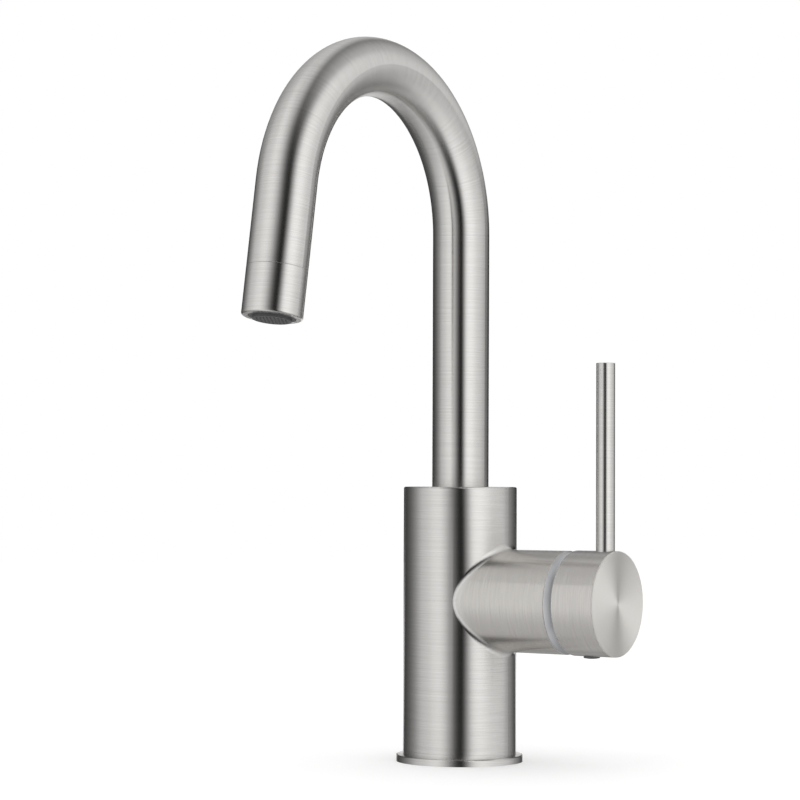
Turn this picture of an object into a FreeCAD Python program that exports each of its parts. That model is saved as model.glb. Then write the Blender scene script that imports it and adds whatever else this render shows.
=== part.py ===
import FreeCAD, Part
import math
import os

# Gooseneck bar faucet with a side lever. Millimetres, +Z up.
# The origin is the centre of the base on the deck. The spout points to -Y and the handle to +X.

Vec = FreeCAD.Vector
X_DIR = Vec(1, 0, 0)
Y_DIR = Vec(0, 1, 0)
Z_DIR = Vec(0, 0, 1)

# ---------------------------------------------------------------- driving sizes

# Column and base
body_diameter = 50.0
column_top_z = 120.7
column_rim_round = 0.8
ring_overhang = 3.0
ring_thickness = 3.0
ring_edge_round = 0.6
gasket_width = 3.0
gasket_thickness = 1.6
gasket_inset = 2.6

# Foot of the column, with hose threads M10x1 and a stud thread M8
foot_step = 4.0
inlet_thread_r = 4.5
inlet_thread_length = 12.0
inlet_spacing = 23.0
stud_thread_r = 3.4
stud_thread_length = 12.0
riser_r = 3.0
riser_spacing = 21.0

# Side barrel
handle_height = 71.0
barrel_setback = 2.65
barrel_end_x = 55.6
barrel_wall = 3.1
barrel_edge_round = 0.25
join_round = 2.8

# Handle: cap, lever rod and their range of movement
cap_step = 0.25
cap_gap = 4.0
cap_face_wall = 6.16
cap_front_round = 0.45
cap_back_round = 0.4
pivot_depth = 5.6
tilt_range_deg = 22.0
rod_diameter = 8.1
rod_setback = 6.15
rod_reach = 102.9
rod_top_round = 0.3
rod_seat_depth = 2.0
rod_stud_r = 3.0
rod_stud_depth = 8.0
hub_r = 6.5
hub_back_reach = 11.5
plug_setback = 12.7
plug_head_r = 3.5
plug_shank_r = 2.8
plug_head_height = 1.0
plug_crown = 0.4
set_screw_r = 2.5
key_socket_r = 1.25

# Bonnet over the cartridge
bonnet_wall = 1.4
bonnet_skirt_wall = 1.6
bonnet_skirt_length = 3.0
bonnet_mouth_deg = 41.0
bonnet_undercut = 0.3

# Ceramic cartridge
nut_shoulder = 1.8
nut_height = 5.6
nut_slot_width = 3.0
nut_slot_depth = 2.4
housing_wall = 1.8
housing_roof = 2.0
neck_inset = 0.77
neck_wall = 2.5
neck_height = 11.0
rotor_flange_height = 5.4
rotor_top_gap = 0.6
leg_depth = 5.3
guide_half_width = 7.2
slot_gap = 0.45
stem_side = 7.0
stem_arm = 14.0
stem_neck_r = 2.2
stem_ball_r = 3.0
stem_eye_r = 4.4
stem_end_setback = 1.1
pin_r = 1.5
pin_setback = 0.5
driver_r = 9.0
driver_floor = 5.0
driver_lip = 2.0
moving_disc_thickness = 3.45
fixed_disc_thickness = 3.5
cartridge_base_thickness = 3.0
seal_land = 5.8
port_r = 2.2
port_y = 5.0
port_z = 5.6
seat_port_y = 9.3
seat_port_r = 2.4
outlet_port_z = -3.0
outlet_port_r = 3.0
mixed_bore_r = 5.5
port_seal_r = 3.7
seal_cord_r = 0.8

# Spout
tube_diameter = 25.0
tube_wall = 1.2
bend_start_z = 232.1
bend_radius = 66.0
bend_angle_deg = 170.4
outlet_leg = 35.9
sleeve_length = 20.0
sleeve_spigot_length = 8.0
sleeve_wall = 3.2
rim_round = 0.9
seam_round = 0.2

# Swivel joint in the top of the column
socket_depth = 34.7
tube_insert = 11.0
shank_spigot_length = 10.0
shank_bore_r = 8.5
washer_thickness = 1.5
glide_depth = 2.5
glide_height = 4.0
glide_width = 1.7
clip_depth = 12.7
clip_height = 1.5
clip_reach = 1.3
clip_mouth_deg = 50.0
swivel_seal_depths = (19.0, 25.0)
swivel_seal_cord_r = 0.9

# Aerator
rim_width = 2.7
aerator_depth = 9.0
aerator_wall = 1.85
grid_projection = 1.15
grid_thickness = 2.6
grid_hole_r = 0.45
grid_pitch = 1.7
grid_rings = 4
grid_margin = 0.3
screen_thickness = 1.0
screen_hole_r = 0.8
screen_pitch = 3.2
screen_rings = 2
aerator_washer_height = 1.8
aerator_washer_width = 2.0

# Clearances
fit_gap = 0.05
running_gap = 0.1
free_gap = 0.3
bonnet_gap = 0.4
film_gap = 0.05

# Cuts run past the surface they open by the first, and points within the second count as one
overcut = 1.0
same_place = 0.001

# ---------------------------------------------------------------- sizes that follow

body_r = body_diameter / 2
ring_r = body_r + ring_overhang
foot_r = body_r - foot_step
barrel_r = body_r - barrel_setback
cap_r = barrel_r + cap_step
nut_bore_r = barrel_r - barrel_wall
cartridge_r = nut_bore_r - nut_shoulder
chamber_r = cartridge_r + free_gap

# The housing's neck lies just inside the middle between the rotor's slot and the nut's bore.
disc_travel = stem_arm * math.sin(math.radians(tilt_range_deg))
slot_half_height = disc_travel + stem_ball_r + slot_gap
neck_r = (slot_half_height + nut_bore_r) / 2 - neck_inset
rotor_neck_r = neck_r - neck_wall - running_gap

pivot_x = barrel_end_x - pivot_depth
cap_back_x = barrel_end_x + cap_gap
bonnet_r = math.hypot(barrel_r, pivot_depth)
cavity_r = bonnet_r + bonnet_gap
mouth_r = bonnet_r * math.sin(math.radians(bonnet_mouth_deg))
cap_front_x = pivot_x + cavity_r + cap_face_wall
rod_x = cap_front_x - rod_setback
plug_x = cap_front_x - plug_setback
hub_back_x = pivot_x + hub_back_reach
stem_end_x = pivot_x + cavity_r - stem_end_setback

ball_x = pivot_x - stem_arm
driver_back_x = ball_x - driver_floor
driver_front_x = ball_x + driver_lip
moving_disc_x = driver_back_x - moving_disc_thickness
fixed_disc_x = moving_disc_x - film_gap - fixed_disc_thickness
seat_x = fixed_disc_x - cartridge_base_thickness
rotor_back_x = driver_front_x + free_gap
rotor_shoulder_x = rotor_back_x + rotor_flange_height
roof_x = rotor_shoulder_x + free_gap
nut_seat_x = roof_x + housing_roof
neck_end_x = nut_seat_x + neck_height

chest_r = cartridge_r - housing_wall
disc_rest_z = handle_height - disc_travel / 2
disc_r = chest_r - disc_travel / 2 - 2 * free_gap
recess_r = disc_r - seal_land
rotor_flange_r = chest_r - bonnet_gap

tube_r = tube_diameter / 2
tube_bore_r = tube_r - tube_wall
bend_rest_deg = bend_angle_deg - 180
bend_centre = Vec(0, -bend_radius, bend_start_z)
socket_r = tube_r + running_gap
socket_floor_z = column_top_z - socket_depth
tube_bottom_z = column_top_z - tube_insert
shank_bottom_z = socket_floor_z + washer_thickness + film_gap
aerator_r = tube_r - rim_width
grid_r = aerator_r - aerator_wall - fit_gap


# ---------------------------------------------------------------- helpers

def bar_z(radius, z_low, z_high, x=0.0, y=0.0):
    return Part.makeCylinder(radius, z_high - z_low, Vec(x, y, z_low), Z_DIR)


def ring_z(outer_r, inner_r, z_low, z_high, x=0.0, y=0.0):
    hole = bar_z(inner_r, z_low - overcut, z_high + overcut, x, y)
    return bar_z(outer_r, z_low, z_high, x, y).cut(hole)


def bar_x(radius, x_low, x_high, y=0.0, z=handle_height):
    return Part.makeCylinder(radius, x_high - x_low, Vec(x_low, y, z), X_DIR)


def ring_x(outer_r, inner_r, x_low, x_high, y=0.0, z=handle_height):
    hole = bar_x(inner_r, x_low - overcut, x_high + overcut, y, z)
    return bar_x(outer_r, x_low, x_high, y, z).cut(hole)


def pivot_bar(radius, half_length):
    return Part.makeCylinder(radius, 2 * half_length, Vec(pivot_x, -half_length, handle_height), Y_DIR)


def block(x_low, x_high, y_low, y_high, z_low, z_high):
    return Part.makeBox(x_high - x_low, y_high - y_low, z_high - z_low, Vec(x_low, y_low, z_low))


def ball(radius, x, z=handle_height):
    return Part.makeSphere(radius, Vec(x, 0, z))


def is_circle(edge, radius, centre):
    if not isinstance(edge.Curve, Part.Circle):
        return False
    same_size = abs(edge.Curve.Radius - radius) < same_place
    return same_size and (edge.Curve.Center - centre).Length < same_place


def round_circle(shape, size, radius, centre):
    edges = [edge for edge in shape.Edges if is_circle(edge, radius, centre)]
    return shape.makeFillet(size, edges)


def hexagonal_spots(pitch, rings):
    spots = []
    for a in range(-rings, rings + 1):
        for b in range(-rings, rings + 1):
            if abs(a + b) <= rings:
                spots.append((pitch * (a + b / 2), pitch * b * math.sqrt(3) / 2))
    return spots


def outlet_placement():
    flow = Vec(0, -math.sin(math.radians(bend_angle_deg)), math.cos(math.radians(bend_angle_deg)))
    turn = FreeCAD.Rotation(X_DIR, bend_angle_deg)
    bend_end = bend_centre + turn.multVec(Vec(0, bend_radius, 0))
    tip = bend_end + flow * (outlet_leg + sleeve_length)
    return FreeCAD.Placement(tip, FreeCAD.Rotation(X_DIR, bend_rest_deg))


def at_outlet(shape):
    # Outlet pieces are drawn upright, with the spout's rim at z = 0, then carried to the tip.
    placed = shape.copy()
    placed.Placement = outlet_placement().multiply(placed.Placement)
    return placed


# ---------------------------------------------------------------- column and base

def join_edges(body):
    found = []
    for edge in body.Edges:
        first, last = edge.ParameterRange
        on_join = True
        for share in (0.2, 0.5, 0.8):
            p = edge.valueAt(first + share * (last - first))
            on_column = abs(math.hypot(p.x, p.y) - body_r) < same_place
            on_barrel = abs(math.hypot(p.y, p.z - handle_height) - barrel_r) < same_place
            on_join = on_join and on_column and on_barrel
        if on_join:
            found.append(edge)
    return found


def valve_body():
    column = bar_z(body_r, ring_thickness, column_top_z)
    body = column.fuse(bar_x(barrel_r, 0, barrel_end_x)).removeSplitter()
    body = body.makeFillet(join_round, join_edges(body))
    body = round_circle(body, column_rim_round, body_r, Vec(0, 0, column_top_z))
    body = round_circle(body, barrel_edge_round, barrel_r, Vec(barrel_end_x, 0, handle_height))
    body = body.fuse(bar_z(foot_r, 0, ring_thickness))
    cuts = [
        bar_z(stud_thread_r, -overcut, stud_thread_length),
        bar_x(chamber_r, seat_x, barrel_end_x + overcut),
        bar_x(nut_bore_r, nut_seat_x, barrel_end_x + overcut),
        bar_z(socket_r, socket_floor_z, column_top_z + overcut),
        glide_groove(),
        clip_groove(),
        bar_z(mixed_bore_r, handle_height + outlet_port_z - mixed_bore_r, socket_floor_z + overcut),
        bar_x(outlet_port_r, 0, seat_x + overcut, 0, handle_height + outlet_port_z),
    ]
    port_height = handle_height + port_z
    for side in (-1, 1):
        inlet_y = side * inlet_spacing / 2
        riser_y = side * riser_spacing / 2
        cuts.append(bar_z(inlet_thread_r, -overcut, inlet_thread_length, 0, inlet_y))
        cuts.append(bar_z(riser_r, inlet_thread_length - overcut, port_height + seat_port_r, 0, riser_y))
        cuts.append(bar_x(seat_port_r, 0, seat_x + overcut, side * seat_port_y, port_height))
    return body.cut(Part.makeCompound(cuts)).removeSplitter()


def glide_groove():
    top_z = column_top_z - glide_depth
    return bar_z(socket_r + glide_width, top_z - glide_height, top_z)


def clip_groove():
    top_z = column_top_z - clip_depth
    return bar_z(socket_r + clip_reach, top_z - clip_height - 2 * fit_gap, top_z)


def base_ring():
    ring = ring_z(ring_r, foot_r + running_gap, 0, ring_thickness)
    ring = round_circle(ring, ring_edge_round, ring_r, Vec(0, 0, ring_thickness))
    outer_r = ring_r - gasket_inset
    return ring.cut(ring_z(outer_r, outer_r - gasket_width, -overcut, gasket_thickness))


def base_gasket():
    outer_r = ring_r - gasket_inset - fit_gap
    inner_r = ring_r - gasket_inset - gasket_width + fit_gap
    return ring_z(outer_r, inner_r, 0, gasket_thickness - fit_gap)


# ---------------------------------------------------------------- swivel joint

def thrust_washer():
    top_z = socket_floor_z + washer_thickness
    return ring_z(socket_r - running_gap, shank_bore_r, socket_floor_z, top_z)


def glide_ring():
    top_z = column_top_z - glide_depth - fit_gap
    bottom_z = top_z - glide_height + 2 * fit_gap
    return ring_z(socket_r + glide_width - fit_gap, tube_r + running_gap, bottom_z, top_z)


def snap_clip():
    top_z = column_top_z - clip_depth - fit_gap
    bottom_z = top_z - clip_height
    ring = ring_z(socket_r + clip_reach - fit_gap, tube_r - clip_reach / 2, bottom_z, top_z)
    half = math.radians(clip_mouth_deg / 2)
    far_x = 2 * socket_r * math.cos(half)
    far_y = 2 * socket_r * math.sin(half)
    low_z = bottom_z - overcut
    corners = [Vec(0, 0, low_z), Vec(far_x, far_y, low_z), Vec(far_x, -far_y, low_z), Vec(0, 0, low_z)]
    mouth = Part.Face(Part.makePolygon(corners)).extrude(Vec(0, 0, clip_height + 2 * overcut))
    return ring.cut(mouth)


def swivel_shank():
    top_z = tube_bottom_z + shank_spigot_length
    shank = bar_z(tube_r - running_gap, shank_bottom_z, tube_bottom_z)
    shank = shank.fuse(bar_z(tube_bore_r - fit_gap, tube_bottom_z, top_z))
    shank = shank.cut(bar_z(shank_bore_r, shank_bottom_z - overcut, top_z + overcut))
    clip_top_z = column_top_z - clip_depth + free_gap
    clip_bottom_z = column_top_z - clip_depth - clip_height - free_gap
    clip_floor_r = tube_r - clip_reach / 2 - free_gap
    shank = shank.cut(ring_z(tube_r + overcut, clip_floor_r, clip_bottom_z, clip_top_z))
    for depth in swivel_seal_depths:
        middle_z = column_top_z - depth
        half = swivel_seal_cord_r + free_gap
        floor_r = tube_r - 2 * swivel_seal_cord_r - fit_gap
        shank = shank.cut(ring_z(tube_r + overcut, floor_r, middle_z - half, middle_z + half))
    return shank.removeSplitter()


def swivel_seals():
    rings = []
    for depth in swivel_seal_depths:
        centre = Vec(0, 0, column_top_z - depth)
        main_r = tube_r - swivel_seal_cord_r - fit_gap
        rings.append(Part.makeTorus(main_r, swivel_seal_cord_r, centre, Z_DIR))
    return Part.makeCompound(rings)


# ---------------------------------------------------------------- spout

def spout_run(radius):
    # One solid run of the gooseneck: riser, bend and leaning leg.
    riser = bar_z(radius, tube_bottom_z, bend_start_z)
    start = Part.Face(Part.Wire(Part.makeCircle(radius, Vec(0, 0, bend_start_z), Z_DIR)))
    bend = start.revolve(bend_centre, X_DIR, bend_angle_deg)
    leg = Part.makeCylinder(radius, outlet_leg, Vec(0, 0, sleeve_length), Z_DIR)
    return riser.fuse([bend, at_outlet(leg)]).removeSplitter()


def spout_tube():
    seam_centre = outlet_placement().multVec(Vec(0, 0, sleeve_length))
    outside = round_circle(spout_run(tube_r), seam_round, tube_r, seam_centre)
    return outside.cut(spout_run(tube_bore_r))


def outlet_sleeve():
    end = sleeve_length + sleeve_spigot_length
    sleeve = bar_z(tube_r, 0, sleeve_length)
    sleeve = round_circle(sleeve, rim_round, tube_r, Vec(0, 0, 0))
    sleeve = round_circle(sleeve, seam_round, tube_r, Vec(0, 0, sleeve_length))
    sleeve = sleeve.fuse(bar_z(tube_bore_r - fit_gap, sleeve_length, end))
    sleeve = sleeve.cut(bar_z(tube_bore_r - sleeve_wall, -overcut, end + overcut))
    pocket_depth = aerator_depth + aerator_washer_height + 2 * fit_gap
    sleeve = sleeve.cut(bar_z(aerator_r + fit_gap, -overcut, pocket_depth))
    return at_outlet(sleeve.removeSplitter())


def aerator_cage():
    return at_outlet(ring_z(aerator_r, aerator_r - aerator_wall, 0, aerator_depth))


def aerator_grid():
    plate = bar_z(grid_r, -grid_projection, grid_thickness - grid_projection)
    holes = []
    for x, y in hexagonal_spots(grid_pitch, grid_rings):
        if math.hypot(x, y) + grid_hole_r < grid_r - grid_margin:
            holes.append(bar_z(grid_hole_r, -grid_projection - overcut, grid_thickness + overcut, x, y))
    return at_outlet(plate.cut(Part.makeCompound(holes)))


def aerator_screen():
    low = grid_thickness - grid_projection + fit_gap
    high = low + screen_thickness
    plate = bar_z(grid_r, low, high)
    holes = []
    for x, y in hexagonal_spots(screen_pitch, screen_rings):
        holes.append(bar_z(screen_hole_r, low - overcut, high + overcut, x, y))
    return at_outlet(plate.cut(Part.makeCompound(holes)))


def aerator_washer():
    low = aerator_depth + fit_gap
    inner_r = aerator_r - aerator_washer_width
    return at_outlet(ring_z(aerator_r, inner_r, low, low + aerator_washer_height))


# ---------------------------------------------------------------- cartridge, still pieces

def cartridge_base():
    base = bar_x(cartridge_r, seat_x, fixed_disc_x)
    low_x = seat_x - overcut
    middle_x = seat_x + 2 * seal_cord_r
    high_x = fixed_disc_x + overcut
    outlet_z = handle_height + outlet_port_z
    inlet_z = handle_height + port_z
    base = base.cut(bar_x(outlet_port_r, low_x, high_x, 0, outlet_z))
    base = base.cut(seal_groove(0, outlet_z))
    for side in (-1, 1):
        base = base.cut(seal_groove(side * seat_port_y, inlet_z))
        base = base.cut(bar_x(port_r, low_x, high_x, side * seat_port_y, inlet_z))
        base = base.cut(bar_x(port_r, middle_x, high_x, side * port_y, inlet_z))
        y_low = min(side * port_y, side * seat_port_y)
        y_high = max(side * port_y, side * seat_port_y)
        base = base.cut(block(middle_x, high_x, y_low, y_high, inlet_z - port_r, inlet_z + port_r))
    return base


def seal_groove(y, z):
    outer_r = port_seal_r + seal_cord_r + fit_gap
    inner_r = port_seal_r - seal_cord_r - fit_gap
    return ring_x(outer_r, inner_r, seat_x - overcut, seat_x + 2 * seal_cord_r - free_gap, y, z)


def port_seals():
    # Rubber rings pressed flat between the seat and the cartridge base.
    spots = [(0, handle_height + outlet_port_z)]
    for side in (-1, 1):
        spots.append((side * seat_port_y, handle_height + port_z))
    outer_r = port_seal_r + seal_cord_r
    inner_r = port_seal_r - seal_cord_r
    front_x = seat_x + 2 * seal_cord_r - free_gap - fit_gap
    return Part.makeCompound([ring_x(outer_r, inner_r, seat_x, front_x, y, z) for y, z in spots])


def fixed_disc():
    front_x = fixed_disc_x + fixed_disc_thickness
    disc = bar_x(chest_r - fit_gap, fixed_disc_x, front_x)
    low_x = fixed_disc_x - overcut
    high_x = front_x + overcut
    disc = disc.cut(bar_x(outlet_port_r, low_x, high_x, 0, handle_height + outlet_port_z))
    for side in (-1, 1):
        disc = disc.cut(bar_x(port_r, low_x, high_x, side * port_y, handle_height + port_z))
    return disc


def cartridge_housing():
    shell = bar_x(cartridge_r, fixed_disc_x, nut_seat_x)
    shell = shell.fuse(bar_x(neck_r, nut_seat_x, neck_end_x))
    shell = shell.cut(bar_x(chest_r, fixed_disc_x - overcut, roof_x))
    shell = shell.cut(bar_x(rotor_neck_r + running_gap, roof_x - overcut, neck_end_x + overcut))
    return shell.removeSplitter()


def retaining_nut():
    end_x = nut_seat_x + nut_height
    nut = ring_x(nut_bore_r - fit_gap, neck_r + free_gap, nut_seat_x, end_x)
    low_x = end_x - nut_slot_depth
    high_x = end_x + overcut
    half = nut_slot_width / 2
    reach = nut_bore_r + overcut
    middle_z = handle_height
    nut = nut.cut(block(low_x, high_x, -half, half, middle_z - reach, middle_z + reach))
    return nut.cut(block(low_x, high_x, -reach, reach, middle_z - half, middle_z + half))


def bonnet():
    # A domed cap nut, round about the lever's pivot, so the handle can roll over it.
    reach = 2 * bonnet_r
    front = block(barrel_end_x, pivot_x + reach, -reach, reach, handle_height - reach, handle_height + reach)
    inside = front.copy()
    inside.translate(Vec(bonnet_wall, 0, 0))
    dome = ball(bonnet_r, pivot_x).common(front)
    dome = dome.cut(ball(bonnet_r - bonnet_wall, pivot_x).common(inside))
    skirt_r = nut_bore_r - fit_gap
    skirt_x = barrel_end_x - bonnet_skirt_length
    floor_r = barrel_r - bonnet_undercut
    dome = dome.cut(ring_x(bonnet_r, floor_r, barrel_end_x - overcut, barrel_end_x + bonnet_undercut))
    dome = dome.fuse(bar_x(skirt_r, skirt_x, barrel_end_x + bonnet_wall / 2))
    dome = dome.cut(bar_x(skirt_r - bonnet_skirt_wall, skirt_x - overcut, barrel_end_x + 2 * bonnet_wall))
    return dome.cut(bar_x(mouth_r, barrel_end_x, pivot_x + reach)).removeSplitter()


# ---------------------------------------------------------------- cartridge, moving pieces

def rotor():
    body = bar_x(rotor_flange_r, rotor_back_x, rotor_shoulder_x)
    body = body.fuse(bar_x(rotor_neck_r, rotor_shoulder_x, neck_end_x - rotor_top_gap))
    guide = guide_half_width + free_gap
    leg_end_x = rotor_back_x - leg_depth
    legs = bar_x(rotor_flange_r, leg_end_x, rotor_back_x + overcut)
    low_z = handle_height - 2 * chest_r
    high_z = handle_height + 2 * chest_r
    between = block(leg_end_x - overcut, rotor_back_x + 2 * overcut, -guide, guide, low_z, high_z)
    body = body.fuse(legs.cut(between))
    half_width = stem_side / 2 + free_gap
    low_z = handle_height - slot_half_height
    high_z = handle_height + slot_half_height
    slot = block(rotor_back_x - overcut, neck_end_x + overcut, -half_width, half_width, low_z, high_z)
    return body.cut(slot).cut(pivot_bar(pin_r + fit_gap, 2 * neck_r)).removeSplitter()


def stem_pin():
    return pivot_bar(pin_r, rotor_neck_r - pin_setback)


def stem():
    half = stem_side / 2
    lever = block(pivot_x, stem_end_x, -half, half, handle_height - half, handle_height + half)
    eye = pivot_bar(stem_eye_r, half)
    arm = bar_x(stem_neck_r, ball_x, pivot_x)
    lever = lever.fuse([eye, arm, ball(stem_ball_r, ball_x)])
    return lever.cut(pivot_bar(pin_r + running_gap, half + overcut)).removeSplitter()


def disc_driver():
    driver = bar_x(driver_r, driver_back_x, driver_front_x, 0, disc_rest_z)
    low_z = disc_rest_z - 2 * driver_r
    high_z = disc_rest_z + 2 * driver_r
    keep = block(driver_back_x - overcut, driver_front_x + overcut, -guide_half_width, guide_half_width,
                 low_z, high_z)
    socket_floor_x = ball_x - stem_ball_r - free_gap
    socket = bar_x(stem_ball_r + free_gap, socket_floor_x, driver_front_x + overcut)
    return driver.common(keep).cut(socket)


def moving_disc():
    disc = bar_x(disc_r, moving_disc_x, driver_back_x, 0, disc_rest_z)
    recess_depth = moving_disc_thickness / 2
    return disc.cut(bar_x(recess_r, moving_disc_x - overcut, moving_disc_x + recess_depth, 0, disc_rest_z))


# ---------------------------------------------------------------- handle

def handle_cap():
    cap = bar_x(cap_r, cap_back_x, cap_front_x)
    cap = round_circle(cap, cap_front_round, cap_r, Vec(cap_front_x, 0, handle_height))
    cap = round_circle(cap, cap_back_round, cap_r, Vec(cap_back_x, 0, handle_height))
    cap = cap.cut(ball(cavity_r, pivot_x))
    cap = cap.fuse(bar_x(hub_r, hub_back_x, pivot_x + cavity_r))
    half = stem_side / 2 + fit_gap
    low_z = handle_height - half
    high_z = handle_height + half
    cap = cap.cut(block(hub_back_x - overcut, stem_end_x + fit_gap, -half, half, low_z, high_z))
    seat_z = handle_height + cap_r - rod_seat_depth
    head_z = handle_height - cap_r + plug_head_height
    hub_z = handle_height - hub_r
    holes = [
        bar_z(rod_diameter / 2 + fit_gap, seat_z, handle_height + 2 * cap_r, rod_x),
        bar_z(rod_stud_r + fit_gap, seat_z - rod_stud_depth, seat_z + overcut, rod_x),
        bar_z(plug_head_r + fit_gap, handle_height - 2 * cap_r, head_z, plug_x),
        bar_z(plug_shank_r + fit_gap, head_z - overcut, hub_z - overcut, plug_x),
        bar_z(set_screw_r, hub_z - 2 * overcut, handle_height, plug_x),
    ]
    return cap.cut(Part.makeCompound(holes)).removeSplitter()


def lever_rod():
    seat_z = handle_height + cap_r - rod_seat_depth
    top_z = handle_height + rod_reach
    rod = bar_z(rod_diameter / 2, seat_z + fit_gap, top_z, rod_x)
    rod = round_circle(rod, rod_top_round, rod_diameter / 2, Vec(rod_x, 0, top_z))
    stud = bar_z(rod_stud_r, seat_z - rod_stud_depth + fit_gap, seat_z + overcut, rod_x)
    return rod.fuse(stud).removeSplitter()


def set_screw():
    top_z = handle_height - stem_side / 2 - fit_gap
    bottom_z = handle_height - hub_r + fit_gap
    screw = bar_z(set_screw_r - fit_gap, bottom_z, top_z, plug_x)
    return screw.cut(bar_z(key_socket_r, bottom_z - overcut, (bottom_z + top_z) / 2, plug_x))


def access_plug():
    face_z = handle_height - cap_r - plug_head_height
    seat_z = handle_height - cap_r + plug_head_height - fit_gap
    crown_r = (plug_head_r ** 2 + plug_crown ** 2) / (2 * plug_crown)
    plug = bar_z(plug_head_r, face_z, seat_z, plug_x)
    plug = plug.common(ball(crown_r, plug_x, face_z + crown_r))
    back_reach = plug_x - plug_shank_r - pivot_x
    inner_z = handle_height - math.sqrt(cavity_r ** 2 - back_reach ** 2)
    return plug.fuse(bar_z(plug_shank_r, seat_z, inner_z, plug_x)).removeSplitter()


# ---------------------------------------------------------------- write the pieces

PIECES = {
    "valve_body": valve_body,
    "base_ring": base_ring,
    "base_gasket": base_gasket,
    "thrust_washer": thrust_washer,
    "glide_ring": glide_ring,
    "snap_clip": snap_clip,
    "swivel_shank": swivel_shank,
    "swivel_seals": swivel_seals,
    "spout_tube": spout_tube,
    "outlet_sleeve": outlet_sleeve,
    "aerator_cage": aerator_cage,
    "aerator_grid": aerator_grid,
    "aerator_screen": aerator_screen,
    "aerator_washer": aerator_washer,
    "cartridge_base": cartridge_base,
    "port_seals": port_seals,
    "fixed_disc": fixed_disc,
    "cartridge_housing": cartridge_housing,
    "retaining_nut": retaining_nut,
    "bonnet": bonnet,
    "rotor": rotor,
    "stem_pin": stem_pin,
    "stem": stem,
    "disc_driver": disc_driver,
    "moving_disc": moving_disc,
    "handle_cap": handle_cap,
    "lever_rod": lever_rod,
    "set_screw": set_screw,
    "access_plug": access_plug,
}

os.makedirs("parts", exist_ok=True)
for name, make in PIECES.items():
    shape = make()
    print(f"{name}: {len(shape.Solids)} solid(s), {shape.Volume:.0f} mm3, valid {shape.isValid()}")
    shape.exportStep(f"parts/{name}.step")
print(f"disc travel {disc_travel:.3f} mm, or {disc_travel / math.radians(tilt_range_deg):.4f} mm per radian")
print(f"pivot at x {pivot_x:.2f}, cap front at x {cap_front_x:.2f}, seat at x {seat_x:.2f}")
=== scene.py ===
# %% [markdown]
# # A gooseneck bar faucet in brushed steel
#
# The faucet is a round column with a side barrel, a capped lever and a bent tube that ends in a small
# aerator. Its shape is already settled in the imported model, so this lesson is about the finish: how
# brushed steel is made from nodes, and how a studio is built round it so that the metal has something
# to reflect. Every length in this file is in metres and every object stands in the model's own frame:
# the deck is the plane z = 0, the spout points to -Y and the handle to +X.

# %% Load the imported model
import math

import bmesh
import bpy
from mathutils import Matrix, Vector


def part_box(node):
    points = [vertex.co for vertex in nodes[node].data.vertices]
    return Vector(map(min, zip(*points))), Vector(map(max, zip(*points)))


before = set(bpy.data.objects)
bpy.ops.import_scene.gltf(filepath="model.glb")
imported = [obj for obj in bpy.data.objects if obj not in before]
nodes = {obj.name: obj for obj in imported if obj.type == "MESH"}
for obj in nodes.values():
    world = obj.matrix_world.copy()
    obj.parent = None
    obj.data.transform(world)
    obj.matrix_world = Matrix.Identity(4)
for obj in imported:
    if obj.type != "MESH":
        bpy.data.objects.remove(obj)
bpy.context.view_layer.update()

# %% [markdown]
# ## The sizes that the finish follows
#
# Brush marks run round each turned piece, so the finish needs the axis of each: the column and the base
# ring stand on the Z axis, the barrel and the cap lie along X at the handle's height, the lever rod has
# an upright axis of its own, and the spout follows a riser, a bend and a leaning leg. The sizes could be
# typed in for each material, but one list keeps them in step.

# %% Axes of the turned pieces
HANDLE_HEIGHT = 0.071
COLUMN_R = 0.025
JOIN_ROUND = 0.0028
BEND_START_Z = 0.2321
BEND_RADIUS = 0.066
BEND_ANGLE = math.radians(170.4)
rod_low, rod_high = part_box("lever_rod")
ROD_X = (rod_low[0] + rod_high[0]) / 2
print(f"lever rod axis at x = {ROD_X:.4f} m")

# %% [markdown]
# ## Short helpers for node trees
#
# A shader is a tree of small nodes. Adding each node and each link by hand takes many lines, so a few
# helpers do it. The first adds a node and fills its inputs in order, with a number or with another node's
# output. The next two are its short forms for scalar and vector arithmetic, and `soft_step` is one for a
# smooth change between two values. `mix_in` puts a masked colour between a socket and what feeds it.

# %% Node helpers
def add_node(tree, kind, *inputs, **settings):
    node = tree.nodes.new(kind)
    for name, value in settings.items():
        setattr(node, name, value)
    for socket, value in zip(node.inputs, inputs):
        if isinstance(value, bpy.types.NodeSocket):
            tree.links.new(value, socket)
        elif value is not None:
            socket.default_value = value
    return node


def calc(tree, operation, *inputs):
    return add_node(tree, "ShaderNodeMath", *inputs, operation=operation).outputs[0]


def vec_calc(tree, operation, *inputs):
    node = add_node(tree, "ShaderNodeVectorMath", *inputs, operation=operation)
    return node.outputs["Value" if operation in ("DOT_PRODUCT", "LENGTH") else "Vector"]


def map_range(tree, value, low, high, at_low=0.0, at_high=1.0, **settings):
    return add_node(tree, "ShaderNodeMapRange", value, low, high, at_low, at_high, **settings).outputs[0]


def soft_step(tree, value, low, high, at_low=0.0, at_high=1.0):
    return map_range(tree, value, low, high, at_low, at_high, interpolation_type="SMOOTHSTEP")


def object_place(tree):
    return add_node(tree, "ShaderNodeTexCoord").outputs["Object"]


# The mix node has two inputs and an output of its own for each kind of data.
MIX_NUMBERS, MIX_VECTORS, MIX_COLOURS = (2, 3, 0), (4, 5, 1), (6, 7, 2)


def mix_in(tree, socket, mask, colour, blend="MIX"):
    mix = add_node(tree, "ShaderNodeMix", mask, data_type="RGBA", blend_type=blend)
    first, second, mixed = MIX_COLOURS
    tree.links.new(socket.links[0].from_socket, mix.inputs[first])
    mix.inputs[second].default_value = (*colour, 1.0)
    tree.links.new(mix.outputs[mixed], socket)


print("helpers: add_node, calc, vec_calc, map_range, soft_step, object_place, mix_in")

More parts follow.
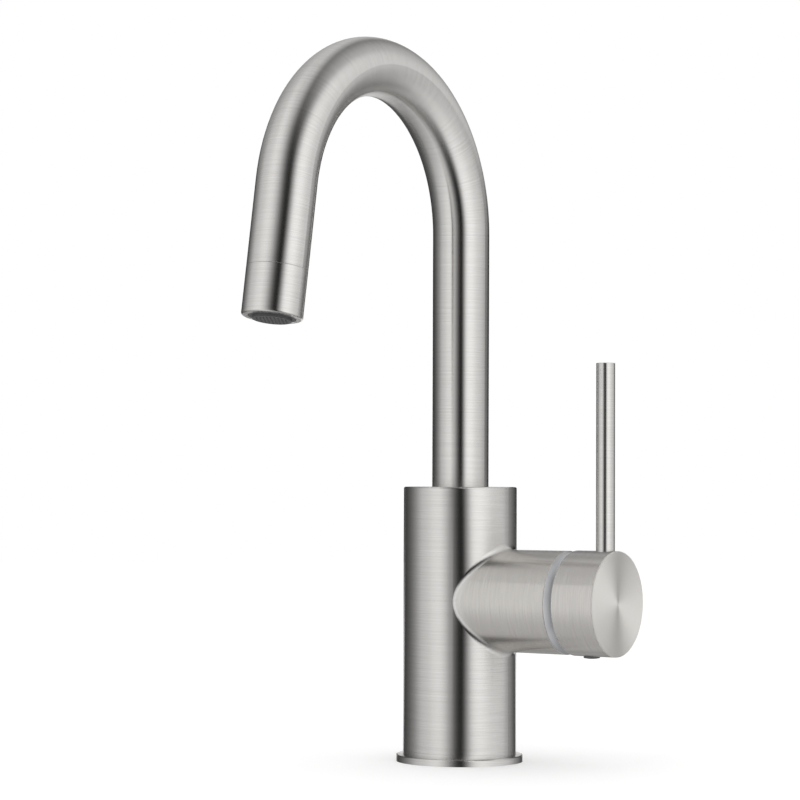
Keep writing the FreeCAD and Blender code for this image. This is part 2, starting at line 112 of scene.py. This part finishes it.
# %% [markdown]
# A node group keeps an effect in one place, so that every material can use it with its own values. Two
# more helpers start a group with its inputs and outputs, and place it in a tree. A third starts a material.

# %% Group helpers
def start_group(name, inputs, outputs):
    group = bpy.data.node_groups.new(name, "ShaderNodeTree")
    for label, kind, default in inputs:
        socket = group.interface.new_socket(name=label, in_out="INPUT", socket_type=kind)
        if default is not None:
            socket.default_value = default
    for label, kind in outputs:
        group.interface.new_socket(name=label, in_out="OUTPUT", socket_type=kind)
    return group, group.nodes.new("NodeGroupInput").outputs, group.nodes.new("NodeGroupOutput").inputs


def place_group(tree, group, **inputs):
    node = tree.nodes.new("ShaderNodeGroup")
    node.node_tree = group
    for label, value in inputs.items():
        socket = node.inputs[label.replace("_", " ")]
        if isinstance(value, bpy.types.NodeSocket):
            tree.links.new(value, socket)
        else:
            socket.default_value = value
    return node.outputs


def new_material(name):
    material = bpy.data.materials.new(name)
    material.use_nodes = True
    return material, material.node_tree, material.node_tree.nodes["Principled BSDF"]


print("helpers: start_group, place_group, new_material")

# %% [markdown]
# ## Brush marks as a node group
#
# Brushed steel is covered in hair-thin scratches that all run one way. Seen from a step away they are
# fine lines, a little lighter and darker, gathered in wider streaks. An image could hold them, but it
# would need a seam. Noise that changes fast across the brushing and slowly along it gives the same marks
# with no seam: the group adds a large multiple of the distance across the lines to a small multiple of
# the position. It puts out the fine lines, the wide streaks and a few deeper scratches.

# %% The brush mark group
brush_marks, given, result = start_group(
    "brush_marks",
    [
        ("Position", "NodeSocketVector", None),
        ("Across", "NodeSocketFloat", 0.0),
        ("Lines per metre", "NodeSocketFloat", 5200.0),
        ("Along per metre", "NodeSocketFloat", 80.0),
    ],
    [("Lines", "NodeSocketFloat"), ("Streaks", "NodeSocketFloat"), ("Scratches", "NodeSocketFloat")],
)
slow = vec_calc(brush_marks, "SCALE", given["Position"])
brush_marks.links.new(given["Along per metre"], slow.node.inputs["Scale"])
lines = calc(brush_marks, "MULTIPLY", given["Across"], given["Lines per metre"])
SLANT_IN_NOISE = 0.37  # keeps the lines off the noise's own grid
SCRATCH_FROM, SCRATCH_FULL = 0.66, 0.74  # only the noise's highest peaks are scratches


def marks_at(share, detail):
    fast = calc(brush_marks, "MULTIPLY", lines, share)
    slanted = calc(brush_marks, "MULTIPLY", fast, SLANT_IN_NOISE)
    offset = add_node(brush_marks, "ShaderNodeCombineXYZ", fast, slanted, 0.0)
    place = vec_calc(brush_marks, "ADD", slow, offset.outputs[0])
    noise = add_node(brush_marks, "ShaderNodeTexNoise", place)
    noise.inputs["Scale"].default_value = 1.0
    noise.inputs["Detail"].default_value = detail
    return noise.outputs["Fac"]


brush_marks.links.new(marks_at(share=1.0, detail=3.0), result["Lines"])
brush_marks.links.new(marks_at(share=0.16, detail=2.0), result["Streaks"])
deep = map_range(brush_marks, marks_at(share=0.6, detail=1.0), SCRATCH_FROM, SCRATCH_FULL)
brush_marks.links.new(deep, result["Scratches"])
print("brush_marks:", [s.name for s in brush_marks.interface.items_tree])

# %% [markdown]
# ## Handling haze as a node group
#
# A faucet that has been wiped and touched isn't equally clean all over. The haze is a soft, cloudy
# variation several centimetres wide, which makes the steel a touch duller here and there. It is so weak
# that nobody sees it as a pattern, but without it the metal looks computed.

# %% The haze group
haze, given, result = start_group(
    "handling_haze",
    [("Position", "NodeSocketVector", None), ("Clouds per metre", "NodeSocketFloat", 28.0)],
    [("Haze", "NodeSocketFloat")],
)
cloud = add_node(haze, "ShaderNodeTexNoise", given["Position"])
haze.links.new(given["Clouds per metre"], cloud.inputs["Scale"])
cloud.inputs["Detail"].default_value = 2.0
haze.links.new(cloud.outputs["Fac"], result["Haze"])
print("handling_haze:", [s.name for s in haze.interface.items_tree])

# %% [markdown]
# ## How a turned metal is put together
#
# The Principled shader does the metal: fully metallic, in the colour of stainless steel or brass. The
# lines vary its colour, its roughness and, a very little, its normal. And they spread each reflection
# across themselves and hardly along themselves, which gives the end of the handle its two bright fans
# and the column its long soft bands. The shader's anisotropic value does that, and its tangent says which
# way to spread: square to the lines, in the surface. The lines run along the vector that circles the
# piece's axis, so the cross product of that vector with the normal is the wanted tangent.

# %% The turned metal maker
STEEL = (0.700, 0.688, 0.670)
WARM_STEEL = (0.705, 0.682, 0.655)
BRASS = (0.72, 0.56, 0.30)
SPRING_STEEL = (0.50, 0.50, 0.50)
MEAN_TONE = 1.01
LINE_TONE, STREAK_TONE, SCRATCH_TONE = 0.40, 0.01, -0.02
LINE_ROUGHNESS, HAZE_ROUGHNESS = 0.02, 0.04
LINE_DEPTH, LINE_BUMP = 0.0002, 0.005


def turned_metal(name, describe, colour=STEEL, roughness=0.26, spread=1.0, contrast=1.0):
    material, tree, shader = new_material(name)
    place = object_place(tree)
    across, circling = describe(tree, place)
    marks = place_group(tree, brush_marks, Position=place, Across=across)
    clouds = place_group(tree, haze, Position=place)
    # The noises lie about one half, so half of what they add is taken off the start.
    start = MEAN_TONE - (LINE_TONE + STREAK_TONE) / 2 * contrast
    tone = calc(tree, "MULTIPLY_ADD", marks["Lines"], LINE_TONE * contrast, start)
    tone = calc(tree, "MULTIPLY_ADD", marks["Streaks"], STREAK_TONE * contrast, tone)
    tone = calc(tree, "MULTIPLY_ADD", marks["Scratches"], SCRATCH_TONE * contrast, tone)
    tinted = vec_calc(tree, "SCALE", colour)
    tree.links.new(tone, tinted.node.inputs["Scale"])
    tree.links.new(tinted, shader.inputs["Base Color"])
    start = roughness - (LINE_ROUGHNESS + HAZE_ROUGHNESS) / 2
    rough = calc(tree, "MULTIPLY_ADD", marks["Lines"], LINE_ROUGHNESS * contrast, start)
    rough = calc(tree, "MULTIPLY_ADD", clouds["Haze"], HAZE_ROUGHNESS, rough)
    tree.links.new(rough, shader.inputs["Roughness"])
    shader.inputs["Metallic"].default_value = 1.0
    shader.inputs["Anisotropic"].default_value = spread
    bump = add_node(tree, "ShaderNodeBump")
    bump.inputs["Strength"].default_value = LINE_BUMP * contrast
    bump.inputs["Distance"].default_value = LINE_DEPTH
    tree.links.new(marks["Lines"], bump.inputs["Height"])
    tree.links.new(bump.outputs[0], shader.inputs["Normal"])
    to_world = {"vector_type": "VECTOR", "convert_from": "OBJECT", "convert_to": "WORLD"}
    circling = add_node(tree, "ShaderNodeVectorTransform", circling, **to_world).outputs[0]
    normal = add_node(tree, "ShaderNodeNewGeometry").outputs["Normal"]
    tree.links.new(vec_calc(tree, "CROSS_PRODUCT", circling, normal), shader.inputs["Tangent"])
    return material


print(f"turned_metal makes steel {STEEL}, brass {BRASS} and spring steel {SPRING_STEEL}")

# %% [markdown]
# ## Which way the lines run on each piece
#
# Each turned piece says two things: how far across the lines a point is, and the direction that circles
# its axis there. On a turned side that distance is measured along the axis, and on an end face it is
# measured outwards from it. Subtracting the radius from the place along the axis serves both at once,
# and it carries the lines over a rounded edge without a break.

# %% Lines round an axis
def round_axis(axis, through):
    def describe(tree, place):
        offset = vec_calc(tree, "SUBTRACT", place, through)
        along = vec_calc(tree, "DOT_PRODUCT", offset, axis)
        circling = vec_calc(tree, "CROSS_PRODUCT", axis, offset)
        across = calc(tree, "SUBTRACT", along, vec_calc(tree, "LENGTH", circling))
        return across, circling

    return describe


round_column = round_axis((0, 0, 1), (0, 0, 0))
round_barrel = round_axis((1, 0, 0), (0, 0, HANDLE_HEIGHT))
round_rod = round_axis((0, 0, 1), (ROD_X, 0, 0))
print(f"straight axes: the column's, the barrel's at z = {HANDLE_HEIGHT} m and the rod's")

# %% [markdown]
# The column and its barrel are one piece with two brushed directions. A point on the column's side is
# exactly one column radius from the Z axis, and every point of the barrel is farther out. So that
# distance makes the mask, and the fillet between the two is where one direction gives way to the other.

# %% Lines on the column and its barrel
COLUMN_ENDS = COLUMN_R + 0.3 * JOIN_ROUND
BARREL_STARTS = COLUMN_R + 0.8 * JOIN_ROUND


def barrel_mask(tree, place):
    from_axis = vec_calc(tree, "LENGTH", vec_calc(tree, "CROSS_PRODUCT", (0, 0, 1), place))
    return map_range(tree, from_axis, COLUMN_ENDS, BARREL_STARTS)


def mix_by(tree, mask, kind, sockets, at_none, at_full):
    first, second, mixed = sockets
    mix = add_node(tree, "ShaderNodeMix", mask, data_type=kind)
    tree.links.new(at_none, mix.inputs[first])
    tree.links.new(at_full, mix.inputs[second])
    return mix.outputs[mixed]


def round_column_and_barrel(tree, place):
    column_across, column_circling = round_column(tree, place)
    barrel_across, barrel_circling = round_barrel(tree, place)
    mask = barrel_mask(tree, place)
    across = mix_by(tree, mask, "FLOAT", MIX_NUMBERS, column_across, barrel_across)
    circling = mix_by(tree, mask, "VECTOR", MIX_VECTORS, column_circling, barrel_circling)
    return across, circling


print(f"the lines turn {1000 * COLUMN_ENDS:.2f} to {1000 * BARREL_STARTS:.2f} mm from the column's axis")

# %% [markdown]
# The spout's lines are rings round a path that goes up, over and down. The angle about the centre of the
# bend says how far round the bend a point is. Held between zero and the bend's full angle, it serves the
# straight runs as well: the direction of the path is then known everywhere, and the distance along the
# path is the arc so far plus the part that lies along that direction. One limit remains: the path is a
# vector of the object and the normal is one of the world, so the rings' direction, though not the lines
# themselves, is exact only while the spout stands at its rest angle.

# %% Lines round the spout
def round_spout(tree, place):
    offset = vec_calc(tree, "SUBTRACT", place, (0, -BEND_RADIUS, BEND_START_Z))
    parts = add_node(tree, "ShaderNodeSeparateXYZ", offset).outputs
    angle = calc(tree, "ARCTAN2", calc(tree, "MULTIPLY", parts["Y"], -1.0), parts["Z"])
    angle = calc(tree, "ADD", angle, math.pi / 2)
    angle = calc(tree, "MINIMUM", calc(tree, "MAXIMUM", angle, 0.0), BEND_ANGLE)
    backwards = calc(tree, "MULTIPLY", calc(tree, "SINE", angle), -1.0)
    path = add_node(tree, "ShaderNodeCombineXYZ", 0.0, backwards, calc(tree, "COSINE", angle)).outputs[0]
    along = vec_calc(tree, "DOT_PRODUCT", offset, path)
    across = calc(tree, "ADD", calc(tree, "MULTIPLY", angle, BEND_RADIUS), along)
    normal = add_node(tree, "ShaderNodeNewGeometry").outputs["Normal"]
    return across, vec_calc(tree, "CROSS_PRODUCT", path, normal)


print(f"the spout's path bends by {math.degrees(BEND_ANGLE):.1f} degrees at {1000 * BEND_RADIUS:.0f} mm")

# %% [markdown]
# ## The end face of the handle
#
# The cap's side is brushed like the barrel, but its end face was turned with a coarser tool and then
# wiped: it spreads light much more, and shows two pale fans that meet in the middle. One material does
# both. A mask starts at the rounded rim, a little inside the cap's last millimetre, and raises the
# roughness of what the brushed metal already has. It also mixes a near-white steel into the face's
# colour: that is painted sheen, which makes the face brighter than its metal would render. The coarse
# marks also scatter a share of the light evenly, which a slightly lower metallic value stands for.

# %% A coarser end face with painted sheen
# The near-white steel colour below is painted sheen: it brightens the end face beyond its metal's own tone.
SHEEN_PAINTED_STEEL = (1.0, 0.982, 0.943)
FACE_FROM, FACE_FULL = 0.0008, 0.0001  # depths below the end face
FACE_ROUGHER = 0.32
FACE_EVEN_SHEEN_SHARE = 0.85
FACE_SCATTER = 0.16


def coarser_end_face_with_painted_sheen(material, face_x):
    tree = material.node_tree
    shader = tree.nodes["Principled BSDF"]
    along = add_node(tree, "ShaderNodeSeparateXYZ", object_place(tree)).outputs["X"]
    face = map_range(tree, along, face_x - FACE_FROM, face_x - FACE_FULL)
    rough = shader.inputs["Roughness"]
    brushed = rough.links[0].from_socket
    tree.links.new(calc(tree, "MULTIPLY_ADD", face, FACE_ROUGHER, brushed), rough)
    tree.links.new(calc(tree, "MULTIPLY_ADD", face, -FACE_SCATTER, 1.0), shader.inputs["Metallic"])
    # Painted sheen: the near-white steel colour is mixed into the end face's base colour here.
    mix_in(tree, shader.inputs["Base Color"], calc(tree, "MULTIPLY", face, FACE_EVEN_SHEEN_SHARE), SHEEN_PAINTED_STEEL)


handle_steel = turned_metal("steel_handle", round_barrel, WARM_STEEL)
face_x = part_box("handle_cap")[1][0]
coarser_end_face_with_painted_sheen(handle_steel, face_x)
print(f"end face of the handle at x = {face_x:.4f} m")

# %% [markdown]
# The barrel belongs to the column's piece, but it has the slightly warmer tone of the handle. The mask
# that turns the lines there also mixes in that tone.

# %% A warmer barrel
BARREL_TINT = (1.0, 0.985, 0.965)
column_steel = turned_metal("steel_column_and_barrel", round_column_and_barrel)
tree = column_steel.node_tree
barrel = barrel_mask(tree, object_place(tree))
mix_in(tree, tree.nodes["Principled BSDF"].inputs["Base Color"], barrel, BARREL_TINT, "MULTIPLY")
print(f"tint of the barrel: {BARREL_TINT}")

# %% [markdown]
# The other metal pieces use the same maker. The bonnet between the barrel and the cap is smooth and a
# little bluish, so it has hardly any lines and no spread. The brass and the spring steel inside are
# rougher, as pieces are that nobody sees, and their marks are stronger.

# %% Make the metal finishes and put them on
SATIN_STEEL = (0.86, 0.875, 0.90)
SATIN = {"roughness": 0.34, "spread": 0.0, "contrast": 0.2}
MACHINED = {"roughness": 0.34, "spread": 0.5, "contrast": 2.0}
DRAWN = {"roughness": 0.30, "spread": 0.4, "contrast": 1.5}


def dress(material, *names):
    for name in names:
        for slot in nodes[name].material_slots:
            slot.material = material
    print(f"{material.name}: {', '.join(names)}")


dress(column_steel, "valve_body")
dress(turned_metal("steel_base_ring", round_column), "base_ring")
dress(turned_metal("steel_spout", round_spout), "spout_tube", "outlet_sleeve")
dress(turned_metal("steel_rod", round_rod), "lever_rod")
dress(handle_steel, "handle_cap")
dress(turned_metal("steel_bonnet_satin", round_barrel, SATIN_STEEL, **SATIN), "bonnet")
dress(turned_metal("brass_upright", round_column, BRASS, **MACHINED), "swivel_shank")
dress(turned_metal("brass_sideways", round_barrel, BRASS, **MACHINED), "retaining_nut", "stem")
dress(turned_metal("spring_upright", round_column, SPRING_STEEL, **DRAWN), "snap_clip", "set_screw")
dress(turned_metal("spring_sideways", round_barrel, SPRING_STEEL, **DRAWN), "stem_pin")
dress(turned_metal("spring_in_spout", round_spout, SPRING_STEEL, **DRAWN), "aerator_screen")

# %% [markdown]
# The lever rod stands so near the column that its reflection would draw one hard dark line down the
# column and the tube. In the studio a small change of the lamps takes such a line away. Here the rod is
# simply left out of the reflections, which is a setting of its object and doesn't touch its shape.

# %% Keep the rod's line off the column
nodes["lever_rod"].visible_glossy = False
print("lever_rod is left out of the reflections")

# %% [markdown]
# ## Moulded surfaces as a node group
#
# Plastic, rubber and ceramic pieces come out of a mould. Their colour drifts slightly where the material
# flowed, and the mould's sparked surface leaves a fine grain that takes the gloss off. Two sizes of noise
# give both, and one group serves all of these pieces, each with its own values.

# %% The moulded surface group
moulded_surface, given, result = start_group(
    "moulded_surface",
    [
        ("Position", "NodeSocketVector", None),
        ("Grain per metre", "NodeSocketFloat", 5000.0),
        ("Flow per metre", "NodeSocketFloat", 160.0),
    ],
    [("Grain", "NodeSocketFloat"), ("Flow", "NodeSocketFloat")],
)
for label, detail in (("Grain", 3.0), ("Flow", 2.0)):
    noise = add_node(moulded_surface, "ShaderNodeTexNoise", given["Position"])
    moulded_surface.links.new(given[label + " per metre"], noise.inputs["Scale"])
    noise.inputs["Detail"].default_value = detail
    moulded_surface.links.new(noise.outputs["Fac"], result[label])
print("moulded_surface:", [s.name for s in moulded_surface.interface.items_tree])

# %% [markdown]
# The maker mixes a darker and a lighter tone of the piece's colour by the flow and the grain, and lets
# the grain move the roughness and the normal. Rubber has strong grain and hardly any gloss, acetal is
# satin, and lapped ceramic is almost a mirror.

# %% The moulded material maker
FLOW_TONE, GRAIN_TONE = 0.24, 0.18
GRAIN_ROUGHNESS = 0.12
GRAIN_HEIGHT = 0.0001


def moulded(name, colour, roughness, grain_depth, grain_per_metre):
    material, tree, shader = new_material(name)
    place = object_place(tree)
    surface = place_group(tree, moulded_surface, Position=place, Grain_per_metre=grain_per_metre)
    # As before, half of what the two noises add is taken off the start.
    tone = calc(tree, "MULTIPLY_ADD", surface["Flow"], FLOW_TONE, 1.0 - (FLOW_TONE + GRAIN_TONE) / 2)
    tone = calc(tree, "MULTIPLY_ADD", surface["Grain"], GRAIN_TONE, tone)
    tinted = vec_calc(tree, "SCALE", colour)
    tree.links.new(tone, tinted.node.inputs["Scale"])
    tree.links.new(tinted, shader.inputs["Base Color"])
    rough = calc(tree, "MULTIPLY_ADD", surface["Grain"], GRAIN_ROUGHNESS, roughness - GRAIN_ROUGHNESS / 2)
    tree.links.new(rough, shader.inputs["Roughness"])
    bump = add_node(tree, "ShaderNodeBump")
    bump.inputs["Strength"].default_value = grain_depth
    bump.inputs["Distance"].default_value = GRAIN_HEIGHT
    tree.links.new(surface["Grain"], bump.inputs["Height"])
    tree.links.new(bump.outputs[0], shader.inputs["Normal"])
    shader.inputs["Specular IOR Level"].default_value = 0.35
    return material


print("moulded makes plastic, ceramic and rubber")

# %% [markdown]
# Each moulded finish is one row: its name, colour, roughness, depth of grain and grain per metre, and the
# pieces that wear it. The two pieces in the tip and the plug under the cap are the dark ones.

# %% Make the moulded finishes and put them on
MOULDED_FINISHES = [
    ("acetal_insert_ring", (0.100, 0.100, 0.103), 0.60, 0.10, 5000.0, ["aerator_cage"]),
    ("acetal_insert_grid", (0.080, 0.080, 0.084), 0.50, 0.30, 3500.0, ["aerator_grid"]),
    ("acetal_plug", (0.110, 0.110, 0.115), 0.40, 0.12, 5000.0, ["access_plug"]),
    ("acetal_bearing", (0.85, 0.85, 0.82), 0.40, 0.10, 5000.0,
     ["thrust_washer", "glide_ring", "rotor", "disc_driver"]),
    ("glass_filled_plastic", (0.62, 0.64, 0.66), 0.50, 0.20, 3000.0,
     ["cartridge_base", "cartridge_housing"]),
    ("lapped_ceramic", (0.88, 0.87, 0.84), 0.14, 0.02, 5000.0, ["fixed_disc", "moving_disc"]),
    ("seal_rubber", (0.030, 0.030, 0.030), 0.62, 0.35, 2500.0,
     ["base_gasket", "swivel_seals", "port_seals", "aerator_washer"]),
]
for *finish, wearers in MOULDED_FINISHES:
    dress(moulded(*finish), *wearers)

# %% [markdown]
# ## The camera
#
# The photograph was taken with a long lens, from the handle's side of the spout and from low down. The
# camera's place and angles were worked out from the outlines of the column, the tube and the cap, and
# are written here as plain values.

# %% Place the camera
AZIMUTH = math.radians(33.788)
PITCH = math.radians(1.841)
ROLL = math.radians(0.235)
CAMERA_PLACE = Vector((0.6243, -0.9813, 0.12165))
LENS_MM = 118.13
SENSOR_MM = 36.0
level = math.cos(PITCH)
forward = Vector((-math.sin(AZIMUTH) * level, math.cos(AZIMUTH) * level, math.sin(PITCH)))
right = Vector((math.cos(AZIMUTH), math.sin(AZIMUTH), 0))
up = right.cross(forward)
right_rolled = right * math.cos(ROLL) + up * math.sin(ROLL)
up_rolled = right_rolled.cross(forward)
lens = bpy.data.cameras.new("camera")
lens.sensor_width = SENSOR_MM
lens.lens = LENS_MM
camera = bpy.data.objects.new("camera", lens)
bpy.context.collection.objects.link(camera)
turn = Matrix((right_rolled, up_rolled, -forward)).transposed()
camera.matrix_world = Matrix.Translation(CAMERA_PLACE) @ turn.to_4x4()
bpy.context.scene.camera = camera
print(f"camera at {tuple(round(v, 3) for v in camera.matrix_world.translation)}")

# %% [markdown]
# ## The studio
#
# Polished and brushed metal has no look of its own: it shows what stands round it. A photographer sets
# up tall white panels and black flags, and their bands on the column are what makes it look like steel.
# Separate lamps could play those parts, but every lamp has a hard edge. Here one shell of light goes all
# round the object, and its brightness changes softly with the direction: a black gap in front, where the
# camera stands, a white panel to the left and to the right of it, dark flags to the left and right behind,
# and white straight behind. Pale sheets above and below the object light the bend from outside and from
# inside. The shell is only a metre across, as a light tent is, so the bend, which is far from the column,
# sees the same panels at another angle. Neither the camera nor matt surfaces see the shell.

# %% The shell of light
SHELL_R = 0.5
SHELL_CENTRE = (0.0, 0.0, 0.15)


def object_from(shape, name):
    data = bpy.data.meshes.new(name)
    shape.to_mesh(data)
    shape.free()
    made = bpy.data.objects.new(name, data)
    bpy.context.collection.objects.link(made)
    return made


ball = bmesh.new()
bmesh.ops.create_uvsphere(ball, u_segments=64, v_segments=32, radius=SHELL_R)
bmesh.ops.translate(ball, verts=ball.verts, vec=SHELL_CENTRE)
shell = object_from(ball, "studio_shell")
shell.visible_camera = False
shell.visible_diffuse = False
shell.visible_shadow = False
print(f"shell of light: {2 * SHELL_R:.1f} m across")

# %% [markdown]
# Three lists say how bright the shell is. The first goes from the far left over the middle to the far
# right. The second goes from the camera's side to the back, where it dims the sides as black flags would.
# The third serves the sheets above and below, where the gap in the middle is much weaker. The values were
# found by following the reflected ray of many points of the faucet and comparing what each one saw.

# %% How bright the shell is
LEFT_TO_RIGHT = [
    (-1.0, 1.0), (-0.87, 1.14), (-0.70, 1.02), (-0.50, 0.66), (-0.34, 0.33), (-0.20, 0.115),
    (-0.08, 0.02), (0.0, 0.004), (0.055, 0.004), (0.12, 0.12), (0.22, 0.48), (0.34, 1.0),
    (0.44, 1.16), (0.60, 1.16), (0.80, 1.06), (1.0, 0.92),
]
FRONT_TO_BACK = [
    (1.0, 1.0), (0.75, 1.0), (0.5, 0.85), (0.2, 0.74), (0.0, 0.65), (-0.15, 0.49), (-0.28, 0.35),
    (-0.43, 0.23), (-0.57, 0.15), (-0.80, 0.06), (-1.0, 0.05),
]
OVER_AND_UNDER = [
    (-1.0, 0.30), (-0.70, 0.42), (-0.45, 0.56), (-0.20, 0.68), (-0.07, 0.40), (0.0, 0.22),
    (0.10, 0.33), (0.24, 0.50), (0.40, 0.62), (0.60, 0.74), (0.85, 0.80), (1.0, 0.80),
]
RAMP_TOP = 2.0  # a colour ramp holds values up to one, and the panels are brighter than that


def soft_ramp(tree, value, stops):
    ramp = add_node(tree, "ShaderNodeValToRGB", calc(tree, "MULTIPLY_ADD", value, 0.5, 0.5))
    marks = ramp.color_ramp.elements
    for place, brightness in stops:
        at_end = abs(place) == 1
        mark = marks[0 if place < 0 else -1] if at_end else marks.new((place + 1) / 2)
        mark.color = (*[brightness / RAMP_TOP] * 3, 1)
    return calc(tree, "MULTIPLY", ramp.outputs["Color"], RAMP_TOP)


stop_count = len(LEFT_TO_RIGHT) + len(FRONT_TO_BACK) + len(OVER_AND_UNDER)
print(f"the studio's three lists hold {stop_count} values")

# %% [markdown]
# Every direction from the middle of the shell is told by three numbers between -1 and 1: how far it
# points to the camera, to the right and up. The dark gap stands a little to the right of the camera's
# side, more so towards the back, and leans a little to the left as it rises. `from_gap` measures from it.

# %% Directions in the studio
TO_CAMERA = Vector((CAMERA_PLACE.x, CAMERA_PLACE.y, 0.0)).normalized()
TO_RIGHT = Vector((-TO_CAMERA.y, TO_CAMERA.x, 0.0))
GAP_LEAN = 0.05
GAP_DRIFT = 0.055

shell_light, tree, _ = new_material("shell_light")
tree.nodes.clear()
direction = vec_calc(tree, "NORMALIZE", vec_calc(tree, "SUBTRACT", object_place(tree), SHELL_CENTRE))
front = vec_calc(tree, "DOT_PRODUCT", direction, TO_CAMERA)
side = vec_calc(tree, "DOT_PRODUCT", direction, TO_RIGHT)
height = add_node(tree, "ShaderNodeSeparateXYZ", direction).outputs["Z"]
away = calc(tree, "POWER", calc(tree, "SUBTRACT", 1.0, front), 2.0)
from_gap = calc(tree, "MULTIPLY_ADD", away, -GAP_DRIFT, side)
from_gap = calc(tree, "MULTIPLY_ADD", height, GAP_LEAN, from_gap)
steep = calc(tree, "ABSOLUTE", height)
steep_squared = calc(tree, "MULTIPLY", steep, steep)
print("to the camera", [round(v, 3) for v in TO_CAMERA], "to the right", [round(v, 3) for v in TO_RIGHT])

# %% [markdown]
# The panels take their brightness from the first list, and the flags dim them by the second. Higher up
# the left panel comes nearer to the gap and the right one draws back from it, which gives the bend its
# own width of shade. Low down the panels are a little weaker.

# %% Panels and flags
LEFT_NEARER = 1.2
RIGHT_FARTHER = 0.38
FLAG_TURN = 0.12
FLAG_RISE = 0.08
to_left = calc(tree, "MULTIPLY_ADD", steep_squared, LEFT_NEARER, 1.0)
to_right = calc(tree, "MULTIPLY_ADD", steep, -RIGHT_FARTHER, 1.0)
left_part = calc(tree, "MULTIPLY", calc(tree, "MINIMUM", from_gap, 0.0), to_left)
right_part = calc(tree, "MULTIPLY", calc(tree, "MAXIMUM", from_gap, 0.0), to_right)
panels = soft_ramp(tree, calc(tree, "ADD", left_part, right_part), LEFT_TO_RIGHT)
towards_back = calc(tree, "MULTIPLY_ADD", side, FLAG_TURN, front)
towards_back = calc(tree, "MULTIPLY_ADD", steep_squared, FLAG_RISE, towards_back)
flags = soft_ramp(tree, towards_back, FRONT_TO_BACK)
low_down = soft_step(tree, height, -0.80, -0.20, 0.80, 1.0)
panels = calc(tree, "MULTIPLY", calc(tree, "MULTIPLY", panels, flags), low_down)
print(f"panels {max(v for _, v in LEFT_TO_RIGHT)} at their brightest")

# %% [markdown]
# The sheets start softly above and below a middle belt. They fade towards the camera, and also behind on
# the left, so that the barrel keeps its darker upper and lower edge. Behind the object stand a white
# backdrop and, low down, the white floor. The brightest of all these parts is what a direction shows.

# %% Sheets, backdrop and the shell's material
STUDIO_LEVEL = 1.06
over = soft_step(tree, height, 0.27, 0.48)
under = soft_step(tree, height, -0.66, -0.40, 0.85, 0.0)
sheets = soft_ramp(tree, from_gap, OVER_AND_UNDER)
sheets = calc(tree, "MULTIPLY", sheets, calc(tree, "MAXIMUM", over, under))
sheets = calc(tree, "MULTIPLY", sheets, soft_step(tree, front, 0.3, 0.8, 1.0, 0.12))
not_behind = soft_step(tree, front, -0.80, -0.42, 0.42, 1.0)
not_left = soft_step(tree, from_gap, -0.30, -0.12)
sheets = calc(tree, "MULTIPLY", sheets, calc(tree, "MAXIMUM", not_behind, not_left))
far_behind = soft_step(tree, front, -0.92, -0.80, 0.9, 0.0)
floor_behind = calc(tree, "MULTIPLY", far_behind, soft_step(tree, height, -0.30, -0.12, 1.0, 0.0))
straight_behind = soft_step(tree, front, -0.99, -0.97, 1.0, 0.0)
backdrop = calc(tree, "MAXIMUM", straight_behind, floor_behind)
strength = calc(tree, "MAXIMUM", calc(tree, "MAXIMUM", panels, sheets), backdrop)
light = add_node(tree, "ShaderNodeEmission", None, calc(tree, "MULTIPLY", strength, STUDIO_LEVEL))
tree.links.new(light.outputs[0], add_node(tree, "ShaderNodeOutputMaterial").inputs["Surface"])
shell.data.materials.append(shell_light)
print(f"{shell_light.name}: {len(tree.nodes)} nodes")

# %% [markdown]
# The world is plain white, so the background is white. It also lights the floor and the plastic pieces
# evenly from all round, as a light tent does.

# %% The world
world = bpy.data.worlds.new("white_world")
world.use_nodes = True
world.node_tree.nodes["Background"].inputs["Color"].default_value = (1, 1, 1, 1)
world.node_tree.nodes["Background"].inputs["Strength"].default_value = 1.0
bpy.context.scene.world = world
bpy.context.scene.view_settings.view_transform = "Standard"
print(f"{world.name}, seen through the {bpy.context.scene.view_settings.view_transform} view")

# %% [markdown]
# The floor is pale and matt. It carries the soft shadow that stands the faucet on the ground. A share of
# its light is its own for the camera's eye, which lifts it to the white of the background, while its
# matt share keeps the shadow.

# %% The floor
FLOOR_R = 2.9
FLOOR_DARKEST, FLOOR_PALEST = 0.86, 0.90
FLOOR_GRAIN_PER_METRE = 40.0
FLOOR_GLOW = 0.20
disc = bmesh.new()
bmesh.ops.create_circle(disc, cap_ends=True, segments=96, radius=FLOOR_R)
floor = object_from(disc, "floor")
floor_paint, tree, shader = new_material("pale_floor")
shader.inputs["Roughness"].default_value = 0.9
shader.inputs["Specular IOR Level"].default_value = 0.0
grain = add_node(tree, "ShaderNodeTexNoise", object_place(tree))
grain.inputs["Scale"].default_value = FLOOR_GRAIN_PER_METRE
pale = map_range(tree, grain.outputs["Fac"], 0.0, 1.0, FLOOR_DARKEST, FLOOR_PALEST)
tree.links.new(pale, shader.inputs["Base Color"])
shader.inputs["Emission Color"].default_value = (1, 1, 1, 1)
seen = add_node(tree, "ShaderNodeLightPath").outputs["Is Camera Ray"]
tree.links.new(calc(tree, "MULTIPLY", seen, FLOOR_GLOW), shader.inputs["Emission Strength"])
floor.data.materials.append(floor_paint)
floor.visible_glossy = False
print(f"floor: {2 * FLOOR_R:.1f} m across")
